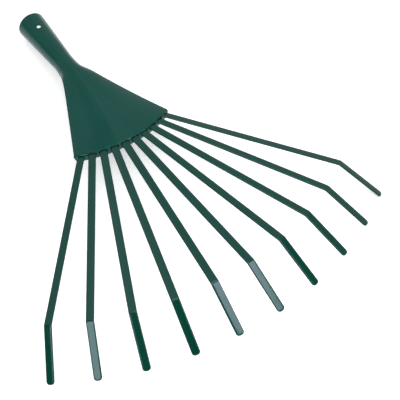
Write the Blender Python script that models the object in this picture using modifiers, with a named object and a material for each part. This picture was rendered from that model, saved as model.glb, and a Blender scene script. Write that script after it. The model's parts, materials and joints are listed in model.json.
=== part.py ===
"""Hand rake head with ten flat spring-steel tines, for Blender 4.5.

Metres, +Z up. The head is one sheet-steel pressing: a rolled conical socket for
the handle, a neck, an arched fan plate with a raised swage, and a slotted front
hem folded into a channel. Each tine is a flat strip whose rear end is bent down
inside that channel, so it can't be pulled out through its slot.

The rake is designed with the socket's axis along Y at z = 0 and the tines
pointing to -Y, fanning out from the origin. An empty then tips it into its
resting pose: on the two outer tine tips and the socket's lower lip.
"""

import math

import bmesh
import bpy
import numpy as np
from mathutils import Matrix, Vector

MM = 0.001
CLEARANCE = 0.35 * MM

# Sheet-steel head
SHEET = 1.2 * MM
MOUTH_Y = 131.0 * MM
MOUTH_RADIUS = 14.25 * MM
MOUTH_TRIM = 0.5 * MM
NECK_Y = 64.0 * MM
NECK_RADIUS = 10.4 * MM
SEAM_GAP = 1.6 * MM
FIXING_HOLE_RADIUS = 2.1 * MM
FIXING_HOLE_FROM_MOUTH = 21.5 * MM

# Fan plate, measured along its outer face
FLARE_END_Y = 14.0 * MM
FLARE_HALF_WIDTH = 22.6 * MM
CORNER_Y = -52.0 * MM
CORNER_HALF_WIDTH = 50.2 * MM
UNROLL_END_Y = 20.0 * MM
UNROLL_HASTE = 1.8
WRAP_REAR_Y = 24.0 * MM
WRAP_REAR = math.radians(31.0)
WRAP_FRONT = math.radians(18.5)
CROWN_FRONT = 5.2 * MM
FRONT_RADIUS = 80.0 * MM

# Raised swage, a tongue that widens from the neck to the hem. Its edges are placed as
# fractions of the half section, and its flanks' spread as a fraction of that place.
SWAGE_EDGE_REAR = 0.04
SWAGE_EDGE_FRONT = 0.26
SWAGE_FLANK = 0.4
SWAGE_ANGLE = math.radians(14.0)
SWAGE_START_Y = 50.0 * MM
SWAGE_FULL_Y = 18.0 * MM
SWAGE_FADE = 0.8

# Front hem: fold, front wall, floor and rear lip, as outside sizes
HEM_HEIGHT = 9.0 * MM
HEM_FOLD = 2.4 * MM
HEM_CORNER = 2.0 * MM
HEM_DEPTH = 6.4 * MM
HEM_LIP = 5.0 * MM

# Tines
TINE_COUNT = 10
TINE_PITCH = math.radians(8.75)
TINE_WIDTH = 7.4 * MM
TINE_THICKNESS = 1.8 * MM
TINE_REACH = 71.0 * MM
TINE_DROP = 2.9 * MM
TINE_SLOPE = math.radians(5.3)
TINE_SLOPE_GAIN = math.radians(4.4)
TINE_LENGTH = 168.0 * MM
TINE_BEND = math.radians(27.4)
TINE_BEND_RADIUS = 5.0 * MM
TINE_TIP = 49.2 * MM
TIP_CORNER = 3.0 * MM
HOOK_RADIUS = 1.6 * MM
HOOK_SETBACK = SHEET + (HEM_DEPTH - 2.0 * SHEET) / 2.0
HOOK_LENGTH = HEM_HEIGHT - SHEET - 2.0 * CLEARANCE - TINE_DROP

# Slots in the hem's front wall, measured from the tine's middle: each one reaches up
# into the fold, where its upper edge slopes back square to the bent sheet
SLOT_WIDTH = TINE_WIDTH + 0.8 * MM
SLOT_BOTTOM = TINE_THICKNESS / 2.0 + CLEARANCE
SLOT_BOTTOM_CORNER = 0.4 * MM
SLOT_TOP = TINE_DROP + 1.0 * MM
SLOT_TOP_CORNER = 3.2 * MM
SLOT_TOP_BACK = 1.7 * MM
SLOT_INNER_TOP = TINE_THICKNESS / 2.0 + CLEARANCE
SLOT_INNER_CORNER = 1.0 * MM
SLOT_INNER_BACK = 2.7 * MM
SLOT_OUTER = 8.0 * MM

# Mesh resolution
HALF_COLUMNS = 20
STEPS_PER_COLUMN = 8
SOCKET_ROWS = 3
FLARE_ROWS = 12
PLATE_ROWS = 10
FOLD_STEPS = 4
CORNER_STEPS = 3
BEND_STEPS = 6
TIP_STEPS = 4
CORNER_ARC_STEPS = 4
HOLE_SIDES = 24
SMOOTH_ANGLE = math.radians(35.0)
EDGE_ROUNDS = 8
TILT_LIMIT = math.radians(30.0)
TILT_ROUNDS = 40

ENAMEL_GREEN = (0.013, 0.078, 0.064, 1.0)
TINE_GREEN = (0.012, 0.084, 0.066, 1.0)
HEAD_ROUGHNESS = 0.32
TINE_ROUGHNESS = 0.28


# ---------------------------------------------------------------- small helpers


def lerp(start, end, part):
    return start + (end - start) * part


def ease(part):
    """Smooth step from 0 to 1 as part goes from 0 to 1."""
    part = min(max(part, 0.0), 1.0)
    return part * part * (3.0 - 2.0 * part)


def material(name, color, roughness, metallic):
    result = bpy.data.materials.new(name)
    result.use_nodes = True
    shader = result.node_tree.nodes["Principled BSDF"]
    shader.inputs["Base Color"].default_value = color
    shader.inputs["Roughness"].default_value = roughness
    shader.inputs["Metallic"].default_value = metallic
    result.diffuse_color = color
    return result


def new_object(name, mesh, collection, surface=None):
    result = bpy.data.objects.new(name, mesh)
    collection.objects.link(result)
    if surface:
        mesh.materials.append(surface)
    return result


def grid_mesh(name, rows):
    """Open surface over rows of points, facing up where rows run to -Y and columns to +X."""
    shape = bmesh.new()
    grid = [[shape.verts.new(point) for point in row] for row in rows]
    for upper, lower in zip(grid, grid[1:]):
        for j in range(len(upper) - 1):
            shape.faces.new((upper[j], lower[j], lower[j + 1], upper[j + 1]))
    mesh = bpy.data.meshes.new(name)
    shape.to_mesh(mesh)
    shape.free()
    mesh.shade_smooth()
    mesh.set_sharp_from_angle(angle=SMOOTH_ANGLE)
    return mesh


def add_cut(target, cutter):
    cut = target.modifiers.new("cut_" + cutter.name, "BOOLEAN")
    cut.operation = "DIFFERENCE"
    cut.solver = "EXACT"
    cut.object = cutter


# ---------------------------------------------------------------- the head's surface


def cone_radius(y):
    return lerp(NECK_RADIUS, MOUTH_RADIUS, (y - NECK_Y) / (MOUTH_Y - NECK_Y))


def wing_slope():
    return (CORNER_HALF_WIDTH - FLARE_HALF_WIDTH) / (FLARE_END_Y - CORNER_Y)


def half_width(y):
    """Half width at y: a cone, a flare on one Hermite curve, then straight wings."""
    if y >= NECK_Y:
        return cone_radius(y)
    if y <= FLARE_END_Y:
        return FLARE_HALF_WIDTH + wing_slope() * (FLARE_END_Y - y)
    run = NECK_Y - FLARE_END_Y
    part = (NECK_Y - y) / run
    rest = 1.0 - part
    cone_slope = -(MOUTH_RADIUS - NECK_RADIUS) / (MOUTH_Y - NECK_Y)
    ends = NECK_RADIUS * (1.0 + 2.0 * part) * rest**2
    ends += FLARE_HALF_WIDTH * part**2 * (3.0 - 2.0 * part)
    slopes = cone_slope * part * rest**2 - wing_slope() * part**2 * rest
    return ends + run * slopes


def wrap_angle(y):
    """How far the sheet turns from the top centre to its free edge."""
    closed = math.pi - SEAM_GAP / (2.0 * cone_radius(max(y, NECK_Y)))
    plate = lerp(WRAP_FRONT, WRAP_REAR, (y - CORNER_Y) / (WRAP_REAR_Y - CORNER_Y))
    part = min(max((NECK_Y - y) / (NECK_Y - UNROLL_END_Y), 0.0), 1.0)
    opening = ease(1.0 - (1.0 - part) ** UNROLL_HASTE)
    return lerp(closed, plate, opening)


def crown_height(y):
    """Height of the top centre line above the socket's axis."""
    if y >= NECK_Y:
        return cone_radius(y)
    front_y = front_arc_y(0.0)
    return lerp(NECK_RADIUS, CROWN_FRONT, (NECK_Y - y) / (NECK_Y - front_y))


def swage_angle(y):
    """Steepness of the swage's flanks: it grows along the neck and fades to the hem."""
    rise = ease((SWAGE_START_Y - y) / (SWAGE_START_Y - SWAGE_FULL_Y))
    fade = 1.0 - SWAGE_FADE * ease((SWAGE_FULL_Y - y) / (SWAGE_FULL_Y - front_arc_y(0.0)))
    return SWAGE_ANGLE * rise * fade


def swage_edge(y):
    """Place of the swage's flank along the half section."""
    part = (SWAGE_START_Y - y) / (SWAGE_START_Y - front_arc_y(0.0))
    return lerp(SWAGE_EDGE_REAR, SWAGE_EDGE_FRONT, min(max(part, 0.0), 1.0))


def front_arc_y(x):
    """Start of the front fold: an arc just behind the hem's front wall."""
    arc = FRONT_RADIUS - HEM_FOLD
    return FRONT_RADIUS - TINE_REACH - math.sqrt(arc**2 - x**2)


def half_section(y):
    """Points (x, z) from the top centre to the free edge, on the outer face."""
    wrap = wrap_angle(y)
    flank = swage_angle(y)
    edge = swage_edge(y)
    steps = HALF_COLUMNS * STEPS_PER_COLUMN
    x = 0.0
    drop = 0.0
    points = [(x, drop)]
    for i in range(steps):
        place = (i + 0.5) / steps
        bump = math.exp(-(((place - edge) / (SWAGE_FLANK * edge)) ** 2))
        turn = wrap * place + flank * bump
        x += math.cos(turn)
        drop += math.sin(turn)
        if (i + 1) % STEPS_PER_COLUMN == 0:
            points.append((x, drop))
    scale = half_width(y) / max(point[0] for point in points)
    crown = crown_height(y)
    return [(scale * x, crown - scale * drop) for x, drop in points]


def surface_point(column, y):
    """Point of the outer face on a column, counted from the centre line, + to the right."""
    x, z = half_section(y)[abs(column)]
    return Vector((math.copysign(x, column), y, z))


def front_edge_point(column):
    """Where a column of the plate meets the start of the front fold."""
    y = front_arc_y(0.0)
    for _ in range(EDGE_ROUNDS):
        y = front_arc_y(surface_point(column, y).x)
    return surface_point(column, y)


def tine_slope(azimuth):
    return TINE_SLOPE + TINE_SLOPE_GAIN * azimuth**2


def outward(azimuth):
    """Direction of a tine, or of the hem's depth, at an azimuth from -Y."""
    slope = tine_slope(azimuth)
    flat = math.cos(slope)
    return Vector((math.sin(azimuth) * flat, -math.cos(azimuth) * flat, -math.sin(slope)))


def hem_profile():
    """Hem's outer face as (forward, up) from the start of the front fold."""
    points = []
    for i in range(1, FOLD_STEPS + 1):
        turn = math.pi / 2.0 * i / FOLD_STEPS
        points.append((HEM_FOLD * math.sin(turn), HEM_FOLD * (math.cos(turn) - 1.0)))
    low = HEM_CORNER - HEM_HEIGHT
    front = HEM_FOLD - HEM_CORNER
    rear = HEM_FOLD - HEM_DEPTH + HEM_CORNER
    for i in range(CORNER_STEPS + 1):
        turn = math.pi / 2.0 * i / CORNER_STEPS
        points.append((front + HEM_CORNER * math.cos(turn), low - HEM_CORNER * math.sin(turn)))
    for i in range(CORNER_STEPS + 1):
        turn = math.pi / 2.0 * i / CORNER_STEPS
        points.append((rear - HEM_CORNER * math.sin(turn), low - HEM_CORNER * math.cos(turn)))
    points.append((HEM_FOLD - HEM_DEPTH, HEM_LIP - HEM_HEIGHT))
    return points


def hem_frame(x, along):
    """Forward and up directions of the hem, where the fold starts at x and runs along."""
    forward = outward(math.asin(x / FRONT_RADIUS))
    up = along.cross(forward).normalized()
    return forward, up if up.z > 0.0 else -up


def head_rows():
    """Rows of the outer face from the socket's mouth to the hem's rear lip."""
    columns = range(-HALF_COLUMNS, HALF_COLUMNS + 1)
    stations = [lerp(MOUTH_Y, NECK_Y, i / SOCKET_ROWS) for i in range(SOCKET_ROWS)]
    stations += [lerp(NECK_Y, FLARE_END_Y, i / FLARE_ROWS) for i in range(FLARE_ROWS)]
    rows = [[surface_point(column, y) for column in columns] for y in stations]
    edge = [front_edge_point(column) for column in columns]
    for i in range(PLATE_ROWS):
        part = i / PLATE_ROWS
        row = []
        for column, end in zip(columns, edge):
            row.append(surface_point(column, lerp(FLARE_END_Y, end.y, part)))
        rows.append(row)
    rows.append(edge)
    last = len(edge) - 1
    frames = []
    for i, point in enumerate(edge):
        along = edge[min(i + 1, last)] - edge[max(i - 1, 0)]
        frames.append(hem_frame(point.x, along))
    for forward_step, up_step in hem_profile():
        row = []
        for point, (forward, up) in zip(edge, frames):
            row.append(point + forward * forward_step + up * up_step)
        rows.append(row)
    return rows


# ---------------------------------------------------------------- tine placing


def tine_azimuth(number):
    return (number - (TINE_COUNT + 1) / 2.0) * TINE_PITCH


def edge_at(x):
    """Point and direction of the plate's front edge at a place across it."""
    edge = [front_edge_point(column) for column in range(-HALF_COLUMNS, HALF_COLUMNS + 1)]
    for start, end in zip(edge, edge[1:]):
        if start.x <= x <= end.x:
            along = end - start
            return start + along * ((x - start.x) / along.x), along
    raise ValueError("place is off the plate")


def tine_matrix(number):
    """Tine frame: X across, Y forward along the tine, Z up, origin in the hem's front wall."""
    azimuth = tine_azimuth(number)
    behind = FRONT_RADIUS - TINE_REACH
    across = behind * math.sin(azimuth)
    reach = math.sqrt(FRONT_RADIUS**2 - across**2) - behind * math.cos(azimuth)
    root_x = reach * math.sin(azimuth)
    edge, along = edge_at(root_x * (FRONT_RADIUS - HEM_FOLD) / FRONT_RADIUS)
    forward, up = hem_frame(edge.x, along)
    root = edge + forward * HEM_FOLD - up * TINE_DROP
    ahead = outward(azimuth)
    up = (up - ahead * up.dot(ahead)).normalized()
    side = ahead.cross(up).normalized()
    place = Matrix((side, ahead, up)).transposed().to_4x4()
    place.translation = root
    return place


def tine_path():
    """Side view of a tine's middle plane as (forward, up, direction) stations."""
    back = -HOOK_SETBACK
    stations = [(back, -HOOK_LENGTH, math.pi / 2.0)]
    for i in range(CORNER_STEPS + 1):
        turn = math.pi / 2.0 * (1.0 - i / CORNER_STEPS)
        forward = back + HOOK_RADIUS * (1.0 - math.sin(turn))
        stations.append((forward, -HOOK_RADIUS * (1.0 - math.cos(turn)), turn))
    setback = TINE_BEND_RADIUS * math.tan(TINE_BEND / 2.0)
    start = TINE_LENGTH - setback
    for i in range(BEND_STEPS + 1):
        turn = TINE_BEND * i / BEND_STEPS
        forward = start + TINE_BEND_RADIUS * math.sin(turn)
        stations.append((forward, TINE_BEND_RADIUS * (math.cos(turn) - 1.0), -turn))
    return stations


def tine_rows():
    """Rows of the tine's middle surface, across its width, with a rounded tip."""
    half = TINE_WIDTH / 2.0
    rows = [[(-half, y, z), (half, y, z)] for y, z, _ in reversed(tine_path())]
    y, z, turn = tine_path()[-1]
    straight = TINE_TIP - TINE_BEND_RADIUS * math.tan(TINE_BEND / 2.0)
    tip = []
    for i in range(TIP_STEPS + 1):
        round_turn = math.pi / 2.0 * i / TIP_STEPS
        along = straight - TIP_CORNER * (1.0 - math.sin(round_turn))
        inset = half - TIP_CORNER * (1.0 - math.cos(round_turn))
        forward = y + along * math.cos(turn)
        up = z + along * math.sin(turn)
        tip.append([(-inset, forward, up), (inset, forward, up)])
    return list(reversed(tip)) + rows


# ---------------------------------------------------------------- the solids


def slot_outline(forward, top, top_corner):
    """Ring of points around a slot at one depth, with rounded corners."""
    half = SLOT_WIDTH / 2.0
    corners = (
        (half, -SLOT_BOTTOM, -90.0, SLOT_BOTTOM_CORNER),
        (half, top, 0.0, top_corner),
        (-half, top, 90.0, top_corner),
        (-half, -SLOT_BOTTOM, 180.0, SLOT_BOTTOM_CORNER),
    )
    points = []
    for x, z, start, radius in corners:
        centre_x = x - math.copysign(radius, x)
        centre_z = z - math.copysign(radius, z)
        for i in range(CORNER_ARC_STEPS + 1):
            turn = math.radians(start + 90.0 * i / CORNER_ARC_STEPS)
            across = centre_x + radius * math.cos(turn)
            points.append((across, forward, centre_z + radius * math.sin(turn)))
    return points


def slot_cutter(number, collection):
    """Loft along a tine, through the hem's front wall only."""
    shape = bmesh.new()
    rings = (
        slot_outline(-SLOT_INNER_BACK, SLOT_INNER_TOP, SLOT_INNER_CORNER),
        slot_outline(-SLOT_TOP_BACK, SLOT_TOP, SLOT_TOP_CORNER),
        slot_outline(SLOT_OUTER, SLOT_TOP, SLOT_TOP_CORNER),
    )
    loops = [[shape.verts.new(point) for point in ring] for ring in rings]
    for near, far in zip(loops, loops[1:]):
        for i in range(len(near)):
            j = (i + 1) % len(near)
            shape.faces.new((near[i], near[j], far[j], far[i]))
    shape.faces.new(loops[0])
    shape.faces.new(loops[-1])
    bmesh.ops.recalc_face_normals(shape, faces=shape.faces)
    mesh = bpy.data.meshes.new(f"slot_cutter_{number}")
    shape.to_mesh(mesh)
    shape.free()
    cutter = new_object(mesh.name, mesh, collection)
    cutter.matrix_local = tine_matrix(number)
    return cutter


def hole_cutter(collection):
    """Fixing screw hole through the top of the socket."""
    shape = bmesh.new()
    bmesh.ops.create_cone(
        shape,
        cap_ends=True,
        segments=HOLE_SIDES,
        radius1=FIXING_HOLE_RADIUS,
        radius2=FIXING_HOLE_RADIUS,
        depth=2.0 * MOUTH_RADIUS,
    )
    mesh = bpy.data.meshes.new("hole_cutter")
    shape.to_mesh(mesh)
    shape.free()
    cutter = new_object(mesh.name, mesh, collection)
    cutter.location = (0.0, MOUTH_Y - FIXING_HOLE_FROM_MOUTH, 1.5 * MOUTH_RADIUS)
    return cutter


def mouth_cutter(collection):
    """Squares the socket's mouth off to a flat ring."""
    shape = bmesh.new()
    bmesh.ops.create_cube(shape, size=4.0 * MOUTH_RADIUS)
    mesh = bpy.data.meshes.new("mouth_cutter")
    shape.to_mesh(mesh)
    shape.free()
    cutter = new_object(mesh.name, mesh, collection)
    cutter.location = (0.0, MOUTH_Y + 2.0 * MOUTH_RADIUS - MOUTH_TRIM, 0.0)
    return cutter


def rake_head(parts, cutters):
    """The pressing: socket, plate and hem from one sheet, then its holes."""
    head = new_object(
        "rake_head",
        grid_mesh("rake_head", head_rows()),
        parts,
        material("head_enamel", ENAMEL_GREEN, HEAD_ROUGHNESS, 0.0),
    )
    sheet = head.modifiers.new("sheet", "SOLIDIFY")
    sheet.thickness = SHEET
    sheet.offset = -1.0
    sheet.use_even_offset = True
    add_cut(head, mouth_cutter(cutters))
    add_cut(head, hole_cutter(cutters))
    for number in range(1, TINE_COUNT + 1):
        add_cut(head, slot_cutter(number, cutters))
    return head


def tine(number, parts):
    """One flat tine, set in its slot."""
    result = new_object(
        f"tine_{number}",
        grid_mesh(f"tine_{number}", tine_rows()),
        parts,
        material(f"tine_enamel_{number}", TINE_GREEN, TINE_ROUGHNESS, 0.0),
    )
    strip = result.modifiers.new("strip", "SOLIDIFY")
    strip.thickness = TINE_THICKNESS
    strip.offset = 0.0
    strip.use_even_offset = True
    result.matrix_local = tine_matrix(number)
    return result


# ---------------------------------------------------------------- resting pose


def world_points(items):
    """All corners of the finished solids."""
    bpy.context.view_layer.update()
    graph = bpy.context.evaluated_depsgraph_get()
    points = []
    for item in items:
        shape = item.evaluated_get(graph)
        points += [shape.matrix_world @ vertex.co for vertex in shape.data.vertices]
    return np.array(points)


def tipped(points, tilt):
    turn = np.array(Matrix.Rotation(tilt, 3, "X"))
    return points @ turn.T


def resting_tilt(head_points, tine_points):
    """Tilt at which the lowest tine tip and the socket's lip are level."""
    low = -TILT_LIMIT
    high = TILT_LIMIT
    for _ in range(TILT_ROUNDS):
        tilt = (low + high) / 2.0
        tips = tipped(tine_points, tilt)[:, 2].min()
        lip = tipped(head_points, tilt)[:, 2].min()
        if tips > lip:
            low = tilt
        else:
            high = tilt
    return (low + high) / 2.0


def rest_on_ground(head, tines, cutters):
    """Parent everything to an empty that sets the rake down, centred on the origin."""
    head_points = world_points([head])
    tine_points = world_points(tines)
    tilt = resting_tilt(head_points, tine_points)
    points = tipped(np.vstack((head_points, tine_points)), tilt)
    low = points.min(axis=0)
    high = points.max(axis=0)
    rest = bpy.data.objects.new("rake_rest", None)
    head.users_collection[0].objects.link(rest)
    rest.rotation_euler = (tilt, 0.0, 0.0)
    rest.location = (-(low[0] + high[0]) / 2.0, -(low[1] + high[1]) / 2.0, -low[2])
    for item in [head, *tines, *cutters]:
        item.parent = rest


def main():
    for item in list(bpy.data.objects):
        bpy.data.objects.remove(item, do_unlink=True)
    parts = bpy.data.collections.new("hand_rake")
    cutters = bpy.data.collections.new("cutters")
    bpy.context.scene.collection.children.link(parts)
    bpy.context.scene.collection.children.link(cutters)
    head = rake_head(parts, cutters)
    tines = [tine(number, parts) for number in range(1, TINE_COUNT + 1)]
    for cutter in cutters.objects:
        cutter.hide_render = True
        cutter.display_type = "WIRE"
    rest_on_ground(head, tines, list(cutters.objects))
    bpy.context.view_layer.update()


main()
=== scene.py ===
"""Looks of the hand rake: enamelled sheet-steel head and ten flat enamelled tines.

Every piece is a sheet of steel with rounded edges, built as one closed mesh: an outer
face, an inner face, and a rounded rim around each free edge and hole. The head is
designed with its socket's axis along Y and its tines pointing to -Y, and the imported
record's mount says how that design stands on the floor.
"""

import json
import math

import bmesh
import bpy
import numpy as np
from mathutils import Matrix, Vector
from mathutils.geometry import delaunay_2d_cdt
from mathutils.kdtree import KDTree


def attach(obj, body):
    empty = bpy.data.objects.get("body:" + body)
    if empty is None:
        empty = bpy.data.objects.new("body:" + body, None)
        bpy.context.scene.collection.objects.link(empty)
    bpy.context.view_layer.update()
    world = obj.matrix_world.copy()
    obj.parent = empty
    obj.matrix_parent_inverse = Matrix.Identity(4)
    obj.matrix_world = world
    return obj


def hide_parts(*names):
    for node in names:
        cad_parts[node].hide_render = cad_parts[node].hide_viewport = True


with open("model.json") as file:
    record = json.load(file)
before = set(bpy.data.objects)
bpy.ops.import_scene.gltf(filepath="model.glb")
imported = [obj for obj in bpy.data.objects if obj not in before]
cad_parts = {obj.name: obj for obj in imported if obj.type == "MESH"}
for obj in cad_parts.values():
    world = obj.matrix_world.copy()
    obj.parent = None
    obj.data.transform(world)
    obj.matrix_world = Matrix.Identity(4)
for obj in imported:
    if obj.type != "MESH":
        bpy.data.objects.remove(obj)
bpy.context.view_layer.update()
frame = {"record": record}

MM = 0.001

# Sheet-steel head, as in the CAD model
SHEET = 1.2 * MM
MOUTH_Y = 131.0 * MM
MOUTH_RADIUS = 14.25 * MM
MOUTH_TRIM = 0.5 * MM
NECK_Y = 64.0 * MM
NECK_RADIUS = 10.4 * MM
SEAM_GAP = 1.6 * MM
FIXING_HOLE_RADIUS = 2.1 * MM
FIXING_HOLE_FROM_MOUTH = 21.5 * MM
FLARE_END_Y = 14.0 * MM
FLARE_HALF_WIDTH = 22.6 * MM
CORNER_Y = -52.0 * MM
CORNER_HALF_WIDTH = 50.2 * MM
UNROLL_END_Y = 20.0 * MM
UNROLL_HASTE = 1.8
WRAP_REAR_Y = 24.0 * MM
WRAP_REAR = math.radians(31.0)
WRAP_FRONT = math.radians(18.5)
CROWN_FRONT = 5.2 * MM
FRONT_RADIUS = 80.0 * MM
SWAGE_EDGE_REAR = 0.04
SWAGE_EDGE_FRONT = 0.26
SWAGE_FLANK = 0.4
SWAGE_ANGLE = math.radians(14.0)
SWAGE_START_Y = 50.0 * MM
SWAGE_FULL_Y = 18.0 * MM
SWAGE_FADE = 0.8
HEM_HEIGHT = 9.0 * MM
HEM_FOLD = 2.4 * MM
HEM_CORNER = 2.0 * MM
HEM_DEPTH = 6.4 * MM
HEM_LIP = 5.0 * MM

# Tines, as in the CAD model
TINE_COUNT = 10
TINE_PITCH = math.radians(8.75)
TINE_WIDTH = 7.4 * MM
TINE_THICKNESS = 1.8 * MM
TINE_REACH = 71.0 * MM
TINE_DROP = 2.9 * MM
TINE_SLOPE = math.radians(5.3)
TINE_SLOPE_GAIN = math.radians(4.4)
TINE_LENGTH = 168.0 * MM
TINE_BEND = math.radians(27.4)
TINE_BEND_RADIUS = 5.0 * MM
TINE_TIP = 49.2 * MM
TIP_CORNER = 3.0 * MM
CLEARANCE = 0.35 * MM
HOOK_RADIUS = 1.6 * MM
HOOK_SETBACK = SHEET + (HEM_DEPTH - 2.0 * SHEET) / 2.0
HOOK_LENGTH = HEM_HEIGHT - SHEET - 2.0 * CLEARANCE - TINE_DROP
SLOT_WIDTH = TINE_WIDTH + 0.8 * MM
SLOT_BOTTOM = TINE_THICKNESS / 2.0 + CLEARANCE
SLOT_BOTTOM_CORNER = 0.6 * MM
SLOT_TOP = 0.55 * MM
SLOT_TOP_CORNER = 3.2 * MM
# The two outer slots stop lower, so that the hem's open end doesn't show through them
END_SLOT_TOP = 2.3 * MM
END_SLOT_TOP_CORNER = 2.4 * MM

# Rounding of the steel's edges under the enamel, and how far the faces are held in, so
# that the pieces stay inside the CAD model's box
FACE_INSET = 0.01 * MM
SHEET_RIM = 0.42 * MM
TINE_RIM = 0.88 * MM
RIM_STEPS = 8
RIM_ROOM = 1.35

# Mesh resolution
HALF_COLUMNS = 84
STEPS_PER_COLUMN = 4
SOCKET_ROWS = 60
FLARE_ROWS = 60
PLATE_ROWS = 84
FOLD_STEPS = 12
WALL_STEPS = 7
CORNER_STEPS = 8
FLOOR_STEPS = 2
LIP_STEPS = 4
HOLE_SIDES = 40
OUTLINE_STEP = 0.45 * MM
# Sections that the plate's rows are read from, and those that its front edge is found on,
# with how far these start ahead of the edge and end behind it
PLATE_SECTIONS = 120
EDGE_SECTIONS = 60
EDGE_AHEAD = 2.0 * MM
EDGE_BEHIND = 6.0 * MM
# Rows along a tine from its hook to its tip, columns across it, and steps round a tip's corner
HOOK_ROWS = 6
HOOK_TURN_ROWS = 10
RUN_ROWS = 80
BEND_ROWS = 12
TIP_ROWS = 30
TINE_COLUMNS = 9
TIP_CORNER_STEPS = 8
# Least space, in rows and in columns, between a tip's corner and the grid's next point
TIP_ROW_ROOM = 0.2
TIP_COLUMN_ROOM = 0.3

# How close two outline points count as one, in grid cells, and how far a rim's corner may
# be stretched, as the least cosine between its direction and its sides'
MERGE_DISTANCE = 1e-7
MITRE_LIMIT = 0.5
# Search for the spot of a patch over a place: it ends within an error in metres, and its
# reach and its longest strides are in rows and columns
SEARCH_ROUNDS = 30
SEARCH_ERROR = 1e-8
SEARCH_REACH = 0.2
ROW_STRIDE = 2.0
COLUMN_STRIDE = 4.0

# Enamels as (body colour, roughness, sheen)
HEAD_ENAMEL = ((0.002, 0.061, 0.046, 1.0), 0.18, 0.47)
TINE_ENAMEL = ((0.002, 0.046, 0.031, 1.0), 0.13, 0.76)
ENAMEL_IOR = 1.35
# Blue tint on the gloss's reflections: painted cool light, set in the enamel in place of cool lamps
PAINTED_COOL_LIGHT_TINT = (0.7, 0.86, 1.0, 1.0)
# Unevenness as (noise scale, detail, low, high): a factor on the colour, then what is
# added to the roughness
CLOUD = (28.0, 3.0, 0.86, 1.14)
HAZE = (160.0, 4.0, -0.05, 0.07)
# Bumps as (noise scale, strength, height): waves in the sheet, enamel's flow, grit
BUMPS = ((55.0, 0.5, 0.3 * MM), (260.0, 0.3, 0.12 * MM), (1700.0, 0.05, 0.02 * MM))
BUMP_DETAIL = 2.0

WHITE = (1.0, 1.0, 1.0, 1.0)
# White floor that also glows, which keeps the shadows on it faint
FLOOR_HALF = 6.0
FLOOR_COLOR = (0.93, 0.93, 0.93, 1.0)
FLOOR_ROUGHNESS = 0.9
FLOOR_SHEEN = 0.1
FLOOR_GLOW = 0.48
# Softboxes as (name, azimuth, elevation, distance, width, height, radiance), in degrees
# and metres
SOFTBOXES = (
    ("overhead", 0.0, 88.0, 1.6, 1.0, 1.0, 2.2),
    ("left", -78.0, 47.0, 1.8, 0.75, 0.6, 6.3),
    ("right", 32.0, 57.5, 1.8, 0.8, 0.6, 7.2),
    ("front", -12.0, 26.0, 1.7, 1.3, 0.6, 3.5),
)
# Plain sky: brightest towards one azimuth, fading to the dark side of the room
SKY_AZIMUTH = 150.0
SKY_STRENGTH = 0.7
SKY_FADE = (0.0, 0.45)
# Brighter and darker patches of it as (azimuth, elevation, reach, strength), in degrees,
# set where the plate mirrors them, and the part of its reach where a patch is at its full
SKY_SPOTS = (
    (162.0, 44.5, 8.0, 0.3),
    (188.0, 54.0, 11.0, 0.3),
    (177.5, 43.5, 5.5, -0.42),
)
SPOT_CORE = 0.3

# Camera aimed at the origin, angles in degrees, then panned
CAMERA_AZIMUTH = -31.292
CAMERA_ELEVATION = 55.873
CAMERA_ROLL = -1.822
CAMERA_DISTANCE = 1041.39 * MM
CAMERA_PAN = (-59.67 * MM, 28.25 * MM)
CAMERA_CLIP = (0.05, 30.0)
SENSOR = 36.0
FOCAL = 99.99


# ---------------------------------------------------------------- the head's surface


def lerp(start, end, part):
    return start + (end - start) * part


def ease(part):
    part = min(max(part, 0.0), 1.0)
    return part * part * (3.0 - 2.0 * part)


def cone_radius(y):
    """Outer radius of the conical socket."""
    return lerp(NECK_RADIUS, MOUTH_RADIUS, (y - NECK_Y) / (MOUTH_Y - NECK_Y))


def wing_slope():
    return (CORNER_HALF_WIDTH - FLARE_HALF_WIDTH) / (FLARE_END_Y - CORNER_Y)


def half_width(y):
    """Half of the head's width: cone, then a smooth flare, then straight sides."""
    if y >= NECK_Y:
        return cone_radius(y)
    if y <= FLARE_END_Y:
        return FLARE_HALF_WIDTH + wing_slope() * (FLARE_END_Y - y)
    run = NECK_Y - FLARE_END_Y
    part = (NECK_Y - y) / run
    rest = 1.0 - part
    cone_slope = -(MOUTH_RADIUS - NECK_RADIUS) / (MOUTH_Y - NECK_Y)
    ends = NECK_RADIUS * (1.0 + 2.0 * part) * rest**2
    ends += FLARE_HALF_WIDTH * part**2 * (3.0 - 2.0 * part)
    slopes = cone_slope * part * rest**2 - wing_slope() * part**2 * rest
    return ends + run * slopes


def wrap_angle(y):
    """How far the section turns from its top centre to its free edge."""
    closed = math.pi - SEAM_GAP / (2.0 * cone_radius(max(y, NECK_Y)))
    plate = lerp(WRAP_FRONT, WRAP_REAR, (y - CORNER_Y) / (WRAP_REAR_Y - CORNER_Y))
    part = min(max((NECK_Y - y) / (NECK_Y - UNROLL_END_Y), 0.0), 1.0)
    opening = ease(1.0 - (1.0 - part) ** UNROLL_HASTE)
    return lerp(closed, plate, opening)


def front_arc_y(x):
    """Arc on which the plate ends and the front fold starts."""
    arc = FRONT_RADIUS - HEM_FOLD
    return FRONT_RADIUS - TINE_REACH - math.sqrt(arc**2 - x**2)


def crown_height(y):
    """Height of the head's outer face along its middle."""
    if y >= NECK_Y:
        return cone_radius(y)
    return lerp(NECK_RADIUS, CROWN_FRONT, (NECK_Y - y) / (NECK_Y - front_arc_y(0.0)))


def swage_angle(y):
    """How steeply the swage's flanks lean, which fades towards the hem."""
    rise = ease((SWAGE_START_Y - y) / (SWAGE_START_Y - SWAGE_FULL_Y))
    fade = 1.0 - SWAGE_FADE * ease((SWAGE_FULL_Y - y) / (SWAGE_FULL_Y - front_arc_y(0.0)))
    return SWAGE_ANGLE * rise * fade


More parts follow.
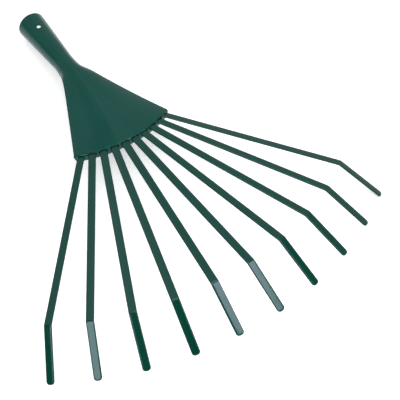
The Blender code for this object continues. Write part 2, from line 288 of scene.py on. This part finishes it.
def swage_edge(y):
    """Place of the swage's flank as a fraction of the half section."""
    part = (SWAGE_START_Y - y) / (SWAGE_START_Y - front_arc_y(0.0))
    return lerp(SWAGE_EDGE_REAR, SWAGE_EDGE_FRONT, min(max(part, 0.0), 1.0))


def half_section(y):
    """Across and height at each column from the top centre to the free edge."""
    steps = HALF_COLUMNS * STEPS_PER_COLUMN
    place = (np.arange(steps) + 0.5) / steps
    turn = wrap_angle(y) * place
    edge = swage_edge(y)
    turn = turn + swage_angle(y) * np.exp(-(((place - edge) / (SWAGE_FLANK * edge)) ** 2))
    x = np.concatenate(([0.0], np.cumsum(np.cos(turn))))
    drop = np.concatenate(([0.0], np.cumsum(np.sin(turn))))
    scale = half_width(y) / x.max()
    every = slice(None, None, STEPS_PER_COLUMN)
    return scale * x[every], crown_height(y) - scale * drop[every]


def section_row(y):
    """One row of the outer face, across the head from -X to +X."""
    x, z = half_section(y)
    across = np.concatenate((-x[:0:-1], x))
    height = np.concatenate((z[:0:-1], z))
    return np.stack((across, np.full_like(across, y), height), axis=1)


def front_edge():
    """Where each column meets the front fold, found on a run of sections near it."""
    first = front_arc_y(0.0) - EDGE_AHEAD
    stations = np.linspace(first, front_arc_y(CORNER_HALF_WIDTH) + EDGE_BEHIND, EDGE_SECTIONS)
    rows = np.array([section_row(y) for y in stations])
    edge = []
    for column in range(rows.shape[1]):
        x = rows[:, column, 0]
        arc = np.array([front_arc_y(value) for value in x])
        y = np.interp(0.0, stations - arc, stations)
        height = np.interp(y, stations, rows[:, column, 2])
        edge.append((np.interp(y, stations, x), y, height))
    return np.array(edge)


def hem_steps():
    """Hem's outer face as (forward, up) from the start of the front fold."""
    points = []
    for i in range(1, FOLD_STEPS + 1):
        turn = math.pi / 2.0 * i / FOLD_STEPS
        points.append((HEM_FOLD * math.sin(turn), HEM_FOLD * (math.cos(turn) - 1.0)))
    low = HEM_CORNER - HEM_HEIGHT
    for i in range(1, WALL_STEPS):
        points.append((HEM_FOLD, lerp(-HEM_FOLD, low, i / WALL_STEPS)))
    front = HEM_FOLD - HEM_CORNER
    rear = HEM_FOLD - HEM_DEPTH + HEM_CORNER
    for i in range(CORNER_STEPS + 1):
        turn = math.pi / 2.0 * i / CORNER_STEPS
        points.append((front + HEM_CORNER * math.cos(turn), low - HEM_CORNER * math.sin(turn)))
    for i in range(1, FLOOR_STEPS):
        points.append((lerp(front, rear, i / FLOOR_STEPS), -HEM_HEIGHT))
    for i in range(CORNER_STEPS + 1):
        turn = math.pi / 2.0 * i / CORNER_STEPS
        points.append((rear - HEM_CORNER * math.sin(turn), low - HEM_CORNER * math.cos(turn)))
    for i in range(1, LIP_STEPS + 1):
        up = lerp(low, HEM_LIP - HEM_HEIGHT, i / LIP_STEPS)
        points.append((HEM_FOLD - HEM_DEPTH, up))
    return points


def outward(azimuth):
    """Direction of a tine that leaves the plate at an azimuth."""
    slope = TINE_SLOPE + TINE_SLOPE_GAIN * azimuth**2
    flat = math.cos(slope)
    return Vector((math.sin(azimuth) * flat, -math.cos(azimuth) * flat, -math.sin(slope)))


def hem_frame(x, along):
    """Forward and up directions of the hem, where the fold starts at x and runs along."""
    forward = outward(math.asin(x / FRONT_RADIUS))
    up = along.cross(forward).normalized()
    return forward, up if up.z > 0.0 else -up


def head_grid():
    """Outer face, rows from the mouth to the rear lip, columns from -X to +X."""
    mouth = MOUTH_Y - MOUTH_TRIM
    stations = [lerp(mouth, NECK_Y, i / SOCKET_ROWS) for i in range(SOCKET_ROWS)]
    stations += [lerp(NECK_Y, FLARE_END_Y, i / FLARE_ROWS) for i in range(FLARE_ROWS)]
    rows = [section_row(y) for y in stations]
    edge = front_edge()
    stations = np.linspace(FLARE_END_Y, edge[:, 1].min(), PLATE_SECTIONS)
    sections = np.array([section_row(y) for y in stations])
    for i in range(PLATE_ROWS):
        row = []
        for column, end in enumerate(edge):
            y = lerp(FLARE_END_Y, end[1], i / PLATE_ROWS)
            line = sections[::-1, column]
            x = np.interp(y, line[:, 1], line[:, 0])
            row.append((x, y, np.interp(y, line[:, 1], line[:, 2])))
        rows.append(np.array(row))
    rows.append(edge)
    points = [Vector(point) for point in edge]
    last = len(points) - 1
    frames = []
    for i, point in enumerate(points):
        along = points[min(i + 1, last)] - points[max(i - 1, 0)]
        frames.append(hem_frame(point.x, along))
    for ahead, up_step in hem_steps():
        row = [p + f * ahead + u * up_step for p, (f, u) in zip(points, frames)]
        rows.append(np.array([tuple(p) for p in row]))
    return np.array(rows)


# ---------------------------------------------------------------- tine placing


def tine_azimuth(number):
    return (number - (TINE_COUNT + 1) / 2.0) * TINE_PITCH


def tine_matrix(number, edge):
    """Tine frame: X across, Y forward along the tine, Z up, origin in the front wall."""
    azimuth = tine_azimuth(number)
    behind = FRONT_RADIUS - TINE_REACH
    across = behind * math.sin(azimuth)
    reach = math.sqrt(FRONT_RADIUS**2 - across**2) - behind * math.cos(azimuth)
    x = reach * math.sin(azimuth) * (FRONT_RADIUS - HEM_FOLD) / FRONT_RADIUS
    i = min(max(int(np.searchsorted(edge[:, 0], x)), 1), len(edge) - 1)
    along = Vector(edge[i] - edge[i - 1])
    point = Vector(edge[i - 1]) + along * ((x - edge[i - 1][0]) / along.x)
    forward, up = hem_frame(point.x, along)
    root = point + forward * HEM_FOLD - up * TINE_DROP
    ahead = outward(azimuth)
    up = (up - ahead * up.dot(ahead)).normalized()
    side = ahead.cross(up).normalized()
    place = Matrix((side, ahead, up)).transposed().to_4x4()
    place.translation = root
    return place


def rest_matrix(record):
    """Where the design stands: its socket's end ring is the record's mount."""
    mount = record["mounts"][0]
    axis = Vector(mount["axis"])
    turn = Matrix.Rotation(math.atan2(axis.z, axis.y), 4, "X")
    y = MOUTH_Y - MOUTH_TRIM
    ring = Vector((0.0, y, cone_radius(y) - SHEET / 2.0))
    turn.translation = Vector(mount["pos_m"]) - turn.to_3x3() @ ring
    return turn


# ---------------------------------------------------------------- sheets with round rims


class Patch:
    """A surface held as a grid of points, read anywhere at (row, column)."""

    def __init__(self, grid):
        self.grid = grid
        down = np.gradient(grid, axis=0)
        right = np.gradient(grid, axis=1)
        normal = np.cross(down, right)
        self.normal = normal / np.linalg.norm(normal, axis=2, keepdims=True)

    def _read(self, table, spots):
        rows, columns = table.shape[:2]
        spots = np.asarray(spots, float).reshape(-1, 2)
        i = np.clip(spots[:, 0].astype(int), 0, rows - 2)
        j = np.clip(spots[:, 1].astype(int), 0, columns - 2)
        a = (spots[:, 0] - i)[:, None]
        b = (spots[:, 1] - j)[:, None]
        near = table[i, j] * (1.0 - b) + table[i, j + 1] * b
        far = table[i + 1, j] * (1.0 - b) + table[i + 1, j + 1] * b
        return near * (1.0 - a) + far * a

    def points(self, spots):
        return self._read(self.grid, spots)

    def directions(self, spots):
        value = self._read(self.normal, spots)
        return value / np.linalg.norm(value, axis=1, keepdims=True)


def grid_border(patch):
    """The whole edge of a patch as one closed loop."""
    rows, columns = patch.grid.shape[:2]
    border = [(i, 0) for i in range(rows - 1)]
    border += [(rows - 1, j) for j in range(columns - 1)]
    border += [(i, columns - 1) for i in range(rows - 1, 0, -1)]
    border += [(0, j) for j in range(columns - 1, 0, -1)]
    return border


def inside_loop(spots, loop):
    """Which of the spots lie inside the closed loop."""
    hit = np.zeros(len(spots), bool)
    y, x = spots[:, 0], spots[:, 1]
    for (ay, ax), (by, bx) in zip(loop, loop[1:] + loop[:1]):
        if ay == by:
            continue
        crossing = (ay > y) != (by > y)
        hit ^= crossing & (x < ax + (y - ay) / (by - ay) * (bx - ax))
    return hit


def on_sheet(spots, border, holes):
    """Which of the spots lie inside the border and in none of the holes."""
    kept = inside_loop(spots, border)
    for hole in holes:
        corners = np.array(hole)
        near = ((spots > corners.min(axis=0)) & (spots < corners.max(axis=0))).all(axis=1)
        near = np.flatnonzero(near)
        kept[near[inside_loop(spots[near], hole)]] = False
    return kept


def triangulate(patch, border, holes, room):
    """Corners (row, column) and triangles of the patch inside its border, less its holes."""
    loops = [border, *holes]
    spots = [tuple(map(float, spot)) for loop in loops for spot in loop]
    tree = KDTree(len(spots))
    for i, point in enumerate(patch.points(spots)):
        tree.insert(point, i)
    tree.balance()
    rows, columns = patch.grid.shape[:2]
    inner = np.array([(i, j) for i in range(1, rows - 1) for j in range(1, columns - 1)], float)
    inner = inner[on_sheet(inner, border, holes)]
    clear = [tree.find(point)[2] > room for point in patch.points(inner)]
    spots += [tuple(spot) for spot in inner[clear].tolist()]
    edges = []
    start = 0
    for loop in loops:
        count = len(loop)
        edges += [(start + k, start + (k + 1) % count) for k in range(count)]
        start += count
    corners = [Vector((column, row)) for row, column in spots]
    found = delaunay_2d_cdt(corners, edges, [], 0, MERGE_DISTANCE)
    home = {ids[0]: k for k, ids in enumerate(found[3]) if ids}
    places = np.array([(point.y, point.x) for point in found[0]])
    triangles = np.array(found[2])
    middles = places[triangles].mean(axis=1)
    kept = triangles[on_sheet(middles, border, holes)].tolist()
    start = 0
    rings = []
    for loop in loops:
        rings.append([home[start + k] for k in range(len(loop))])
        start += len(loop)
    return places, kept, rings


def round_sheet(name, patch, border, holes, above, below, rim):
    """Closed mesh: faces above and below the patch, joined by rounded rims."""
    places, triangles, rings = triangulate(patch, border, holes, rim * RIM_ROOM)
    base = patch.points(places)
    normal = patch.directions(places)
    inward = {}
    neighbours = {}
    for a, b, c in triangles:
        for one, two, three in ((a, b, c), (b, c, a), (c, a, b)):
            neighbours.setdefault(one, []).extend((two, three))
    for ring in rings:
        count = len(ring)
        for k, corner in enumerate(ring):
            before = base[corner] - base[ring[k - 1]]
            after = base[ring[(k + 1) % count]] - base[corner]
            before /= np.linalg.norm(before)
            after /= np.linalg.norm(after)
            sides = [np.cross(normal[corner], before), np.cross(normal[corner], after)]
            side = sides[0] + sides[1]
            side /= np.linalg.norm(side)
            side /= max(side @ (sides[0] / np.linalg.norm(sides[0])), MITRE_LIMIT)
            middle = base[neighbours[corner]].mean(axis=0) - base[corner]
            inward[corner] = side if side @ middle > 0.0 else -side
    for corner, side in inward.items():
        base[corner] = base[corner] + side * rim
    half = (above + below) / 2.0
    shape = bmesh.new()
    top = [shape.verts.new(p) for p in base + normal * above]
    low = [shape.verts.new(p) for p in base - normal * below]
    for a, b, c in triangles:
        up = np.cross(base[b] - base[a], base[c] - base[a]) @ normal[a] > 0.0
        shape.faces.new((top[a], top[b], top[c]) if up else (top[a], top[c], top[b]))
        shape.faces.new((low[a], low[c], low[b]) if up else (low[a], low[b], low[c]))
    for ring in rings:
        bands = [[top[corner] for corner in ring]]
        for step in range(1, RIM_STEPS):
            turn = math.pi * step / RIM_STEPS
            band = []
            for corner in ring:
                level = above - half + half * math.cos(turn)
                out = inward[corner] * rim * math.sin(turn)
                band.append(shape.verts.new(base[corner] - out + normal[corner] * level))
            bands.append(band)
        bands.append([low[corner] for corner in ring])
        count = len(ring)
        for near, far in zip(bands, bands[1:]):
            for k in range(count):
                n = (k + 1) % count
                shape.faces.new((near[k], near[n], far[n], far[k]))
    bmesh.ops.recalc_face_normals(shape, faces=shape.faces)
    mesh = bpy.data.meshes.new(name)
    shape.to_mesh(mesh)
    shape.free()
    mesh.shade_smooth()
    result = bpy.data.objects.new(name, mesh)
    bpy.context.scene.collection.objects.link(result)
    return result


# ---------------------------------------------------------------- holes in the head


def slot_outline(top, top_corner):
    """Rounded outline of a slot as (across, length down the sheet from the fold's start)."""
    half = SLOT_WIDTH / 2.0
    low = HEM_FOLD * (math.pi / 2.0 - 1.0) + TINE_DROP + SLOT_BOTTOM
    corners = (
        (half, low, 90.0, SLOT_BOTTOM_CORNER),
        (half, top, 0.0, top_corner),
        (-half, top, -90.0, top_corner),
        (-half, low, 180.0, SLOT_BOTTOM_CORNER),
    )
    points = []
    for x, down, start, radius in corners:
        middle_x = x - math.copysign(radius, x)
        middle = down + radius if down == top else down - radius
        steps = max(2, round(radius * math.pi / 2.0 / OUTLINE_STEP))
        for i in range(steps + 1):
            turn = math.radians(start - 90.0 * i / steps)
            points.append((middle_x + radius * math.cos(turn), middle + radius * math.sin(turn)))
    outline = []
    for start, end in zip(points, points[1:] + points[:1]):
        cuts = max(1, round(math.dist(start, end) / OUTLINE_STEP))
        for i in range(cuts):
            outline.append((lerp(start[0], end[0], i / cuts), lerp(start[1], end[1], i / cuts)))
    return outline


def spot_above(patch, place, start):
    """Row and column where the patch passes over a place (x, y), found from near start."""
    row, column = start
    for _ in range(SEARCH_ROUNDS):
        miss = patch.points((row, column))[0][:2] - place
        if np.abs(miss).max() < SEARCH_ERROR:
            break
        around = (
            (row + SEARCH_REACH, column),
            (row - SEARCH_REACH, column),
            (row, column + SEARCH_REACH),
            (row, column - SEARCH_REACH),
        )
        ahead, behind, right, left = patch.points(around)[:, :2]
        slopes = np.column_stack((ahead - behind, right - left)) / (2.0 * SEARCH_REACH)
        move = np.linalg.solve(slopes, miss)
        row -= float(np.clip(move[0], -ROW_STRIDE, ROW_STRIDE))
        column -= float(np.clip(move[1], -COLUMN_STRIDE, COLUMN_STRIDE))
    return row, column


def hem_lengths():
    """Length down the sheet, from the fold's start, at each row of the hem."""
    points = [(0.0, 0.0), *hem_steps()]
    steps = [math.dist(start, end) for start, end in zip(points, points[1:])]
    return np.concatenate(([0.0], np.cumsum(steps)))


def head_holes(patch, edge):
    """Outlines of the ten slots and of the fixing screw hole, as (row, column) loops."""
    fold_row = SOCKET_ROWS + FLARE_ROWS + PLATE_ROWS
    lengths = hem_lengths()
    columns = np.arange(patch.grid.shape[1])
    holes = []
    for number in range(1, TINE_COUNT + 1):
        place = tine_matrix(number, edge)
        side = -np.array(place.col[0].to_3d())
        root = np.array(place.translation)
        outer = number in (1, TINE_COUNT)
        top = (END_SLOT_TOP, END_SLOT_TOP_CORNER) if outer else (SLOT_TOP, SLOT_TOP_CORNER)
        hole = []
        for across, down in slot_outline(*top):
            row = fold_row + float(np.interp(down, lengths, np.arange(len(lengths))))
            line = patch.points([(row, column) for column in columns])
            hole.append((row, float(np.interp(across, (line - root) @ side, columns))))
        holes.append(hole)
    mouth = MOUTH_Y - MOUTH_TRIM
    y = MOUTH_Y - FIXING_HOLE_FROM_MOUTH
    middle = (SOCKET_ROWS * (mouth - y) / (mouth - NECK_Y), HALF_COLUMNS)
    hole = []
    for i in range(HOLE_SIDES):
        turn = math.tau * i / HOLE_SIDES
        place = (FIXING_HOLE_RADIUS * math.cos(turn), y + FIXING_HOLE_RADIUS * math.sin(turn))
        hole.append(spot_above(patch, place, middle))
    return holes + [hole]


def build_head(grid, edge, surface):
    patch = Patch(grid)
    holes = head_holes(patch, edge)
    head = round_sheet("head_pressing", patch, grid_border(patch), holes, -FACE_INSET, SHEET, SHEET_RIM)
    head.data.materials.append(surface)
    return head


# ---------------------------------------------------------------- tines


def tine_stations():
    """Side view of a tine's middle as (forward, up) points, from its hook to its tip."""
    back = -HOOK_SETBACK
    points = []
    for i in range(HOOK_ROWS):
        points.append((back, lerp(-HOOK_LENGTH, -HOOK_RADIUS, i / HOOK_ROWS)))
    for i in range(HOOK_TURN_ROWS):
        turn = math.pi / 2.0 * (1.0 - i / HOOK_TURN_ROWS)
        ahead = back + HOOK_RADIUS * (1.0 - math.sin(turn))
        points.append((ahead, -HOOK_RADIUS * (1.0 - math.cos(turn))))
    setback = TINE_BEND_RADIUS * math.tan(TINE_BEND / 2.0)
    bend = TINE_LENGTH - setback
    for i in range(RUN_ROWS):
        points.append((lerp(back + HOOK_RADIUS, bend, i / RUN_ROWS), 0.0))
    for i in range(BEND_ROWS):
        turn = TINE_BEND * i / BEND_ROWS
        ahead = bend + TINE_BEND_RADIUS * math.sin(turn)
        points.append((ahead, TINE_BEND_RADIUS * (math.cos(turn) - 1.0)))
    ahead = bend + TINE_BEND_RADIUS * math.sin(TINE_BEND)
    up = TINE_BEND_RADIUS * (math.cos(TINE_BEND) - 1.0)
    for i in range(TIP_ROWS + 1):
        along = (TINE_TIP - setback) * i / TIP_ROWS
        points.append((ahead + along * math.cos(TINE_BEND), up - along * math.sin(TINE_BEND)))
    return points


def tine_patch():
    across = np.linspace(-TINE_WIDTH / 2.0, TINE_WIDTH / 2.0, TINE_COLUMNS)
    return Patch(np.array([[(x, y, z) for x in across] for y, z in reversed(tine_stations())]))


def tine_border(patch):
    """Outline from the tip's two rounded corners to the hook's square end."""
    rows, columns = patch.grid.shape[:2]
    row_step = np.linalg.norm(patch.grid[1, 0] - patch.grid[0, 0])
    column_step = TINE_WIDTH / (columns - 1)
    last = columns - 1
    border = []
    for i in range(TIP_CORNER_STEPS + 1):
        turn = math.pi / 2.0 * i / TIP_CORNER_STEPS
        row = TIP_CORNER * (1.0 - math.cos(turn)) / row_step
        column = TIP_CORNER * (1.0 - math.sin(turn)) / column_step
        border.append((row, column))
    corner = list(border)
    first_row = math.ceil(TIP_CORNER / row_step + TIP_ROW_ROOM)
    border += [(float(i), 0.0) for i in range(first_row, rows)]
    border += [(float(rows - 1), float(j)) for j in range(1, columns)]
    border += [(float(i), float(last)) for i in range(rows - 2, first_row - 1, -1)]
    border += [(row, last - column) for row, column in reversed(corner)]
    start = border[0][1] + TIP_COLUMN_ROOM
    end = border[-1][1] - TIP_COLUMN_ROOM
    return border + [(0.0, float(j)) for j in range(last, 0, -1) if start < j < end]


def build_tine(number, place, surface):
    patch = tine_patch()
    half = TINE_THICKNESS / 2.0 - FACE_INSET
    tine = round_sheet(f"flat_tine_{number}", patch, tine_border(patch), [], half, half, TINE_RIM)
    tine.data.materials.append(surface)
    tine.data.transform(place)
    return tine


# ---------------------------------------------------------------- materials


def enamel(name, color, roughness, sheen):
    """Gloss enamel: a deep body colour under a gloss whose reflections carry a painted cool tint that
    stands in for cool light, with a faint uneven flow.
    """
    result = bpy.data.materials.new(name)
    result.use_nodes = True
    nodes = result.node_tree.nodes
    links = result.node_tree.links
    shader = nodes["Principled BSDF"]
    shader.inputs["Roughness"].default_value = roughness
    shader.inputs["IOR"].default_value = ENAMEL_IOR
    shader.inputs["Specular IOR Level"].default_value = sheen
    # Reflections tinted cool: painted cool light
    shader.inputs["Specular Tint"].default_value = PAINTED_COOL_LIGHT_TINT
    place = nodes.new("ShaderNodeTexCoord")

    def noise(scale, detail):
        node = nodes.new("ShaderNodeTexNoise")
        node.inputs["Scale"].default_value = scale
        node.inputs["Detail"].default_value = detail
        links.new(place.outputs["Object"], node.inputs["Vector"])
        return node.outputs["Fac"]

    def noise_between(scale, detail, low, high):
        node = nodes.new("ShaderNodeMapRange")
        node.inputs["To Min"].default_value = low
        node.inputs["To Max"].default_value = high
        links.new(noise(scale, detail), node.inputs["Value"])
        return node.outputs["Result"]

    shade = nodes.new("ShaderNodeMix")
    shade.data_type = "RGBA"
    shade.blend_type = "MULTIPLY"
    shade.inputs["Factor"].default_value = 1.0
    shade.inputs["A"].default_value = color
    links.new(noise_between(*CLOUD), shade.inputs["B"])
    links.new(shade.outputs["Result"], shader.inputs["Base Color"])
    scale, detail, low, high = HAZE
    haze = noise_between(scale, detail, roughness + low, roughness + high)
    links.new(haze, shader.inputs["Roughness"])
    normal = None
    for scale, strength, height in BUMPS:
        bump = nodes.new("ShaderNodeBump")
        bump.inputs["Strength"].default_value = strength
        bump.inputs["Distance"].default_value = height
        links.new(noise(scale, BUMP_DETAIL), bump.inputs["Height"])
        if normal:
            links.new(normal, bump.inputs["Normal"])
        normal = bump.outputs["Normal"]
    links.new(normal, shader.inputs["Normal"])
    return result


# ---------------------------------------------------------------- studio


def build_floor():
    mesh = bpy.data.meshes.new("studio_floor")
    shape = bmesh.new()
    bmesh.ops.create_grid(shape, x_segments=1, y_segments=1, size=FLOOR_HALF)
    shape.to_mesh(mesh)
    shape.free()
    floor = bpy.data.objects.new("studio_floor", mesh)
    bpy.context.scene.collection.objects.link(floor)
    pale = bpy.data.materials.new("studio_floor")
    pale.use_nodes = True
    shader = pale.node_tree.nodes["Principled BSDF"]
    shader.inputs["Base Color"].default_value = FLOOR_COLOR
    shader.inputs["Roughness"].default_value = FLOOR_ROUGHNESS
    shader.inputs["Specular IOR Level"].default_value = FLOOR_SHEEN
    shader.inputs["Emission Color"].default_value = WHITE
    shader.inputs["Emission Strength"].default_value = FLOOR_GLOW
    mesh.materials.append(pale)
    return floor


def direction(azimuth, elevation):
    """Unit vector towards an azimuth from -Y and an elevation, in degrees."""
    az, el = math.radians(azimuth), math.radians(elevation)
    return Vector((math.sin(az) * math.cos(el), -math.cos(az) * math.cos(el), math.sin(el)))


def softbox(name, azimuth, elevation, distance, width, height, radiance):
    """Area light aimed at the origin, its power set from the radiance it should show."""
    back = direction(azimuth, elevation)
    data = bpy.data.lights.new(name, "AREA")
    data.shape = "RECTANGLE"
    data.size = width
    data.size_y = height
    data.energy = math.pi * width * height * radiance
    light = bpy.data.objects.new(name, data)
    bpy.context.scene.collection.objects.link(light)
    light.location = back * distance
    light.rotation_euler = back.to_track_quat("Z", "Y").to_euler()


def build_sky():
    world = bpy.data.worlds.new("studio")
    bpy.context.scene.world = world
    world.use_nodes = True
    nodes = world.node_tree.nodes
    links = world.node_tree.links
    coordinates = nodes.new("ShaderNodeTexCoord")

    def glow(azimuth, elevation, start, end, strength):
        """Strength that eases in as the cosine to one direction goes from start to end."""
        toward = nodes.new("ShaderNodeVectorMath")
        toward.operation = "DOT_PRODUCT"
        toward.inputs[1].default_value = direction(azimuth, elevation)
        fade = nodes.new("ShaderNodeMapRange")
        fade.interpolation_type = "SMOOTHSTEP"
        fade.inputs["From Min"].default_value = start
        fade.inputs["From Max"].default_value = end
        fade.inputs["To Min"].default_value = 0.0
        fade.inputs["To Max"].default_value = strength
        links.new(coordinates.outputs["Generated"], toward.inputs[0])
        links.new(toward.outputs["Value"], fade.inputs["Value"])
        return fade.outputs["Result"]

    total = glow(SKY_AZIMUTH, 0.0, *SKY_FADE, SKY_STRENGTH)
    for azimuth, elevation, reach, strength in SKY_SPOTS:
        start, end = (math.cos(math.radians(angle)) for angle in (reach, reach * SPOT_CORE))
        spot = glow(azimuth, elevation, start, end, strength)
        sum_node = nodes.new("ShaderNodeMath")
        sum_node.operation = "ADD"
        links.new(total, sum_node.inputs[0])
        links.new(spot, sum_node.inputs[1])
        total = sum_node.outputs["Value"]
    nodes["Background"].inputs["Color"].default_value = WHITE
    links.new(total, nodes["Background"].inputs["Strength"])


def build_studio():
    build_sky()
    for box in SOFTBOXES:
        softbox(*box)
    bpy.context.scene.view_settings.view_transform = "Standard"


def build_camera():
    """Camera at an azimuth and elevation about the origin, then rolled and panned."""
    back = direction(CAMERA_AZIMUTH, CAMERA_ELEVATION)
    level = direction(CAMERA_AZIMUTH + 90.0, 0.0)
    upright = back.cross(level)
    cosine, sine = math.cos(math.radians(CAMERA_ROLL)), math.sin(math.radians(CAMERA_ROLL))
    right = level * cosine + upright * sine
    up = upright * cosine - level * sine
    place = Matrix((right, up, back)).transposed().to_4x4()
    pan = right * CAMERA_PAN[0] + up * CAMERA_PAN[1]
    place.translation = back * CAMERA_DISTANCE - pan
    data = bpy.data.cameras.new("camera")
    data.sensor_width = SENSOR
    data.lens = FOCAL
    data.clip_start, data.clip_end = CAMERA_CLIP
    camera = bpy.data.objects.new("camera", data)
    camera.matrix_world = place
    bpy.context.scene.collection.objects.link(camera)
    bpy.context.scene.camera = camera


# ---------------------------------------------------------------- the scene


rest = rest_matrix(frame["record"])
grid = head_grid()
edge = grid[SOCKET_ROWS + FLARE_ROWS + PLATE_ROWS]
head_enamel = enamel("head_enamel_gloss", *HEAD_ENAMEL)
tine_enamel = enamel("tine_enamel_gloss", *TINE_ENAMEL)

head = build_head(grid, edge, head_enamel)
head.data.transform(rest)
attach(head, "root")
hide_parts("rake_head")
for number in range(1, TINE_COUNT + 1):
    tine = build_tine(number, rest @ tine_matrix(number, edge), tine_enamel)
    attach(tine, "root")
    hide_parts(f"tine_{number}")

build_floor()
build_studio()
build_camera()
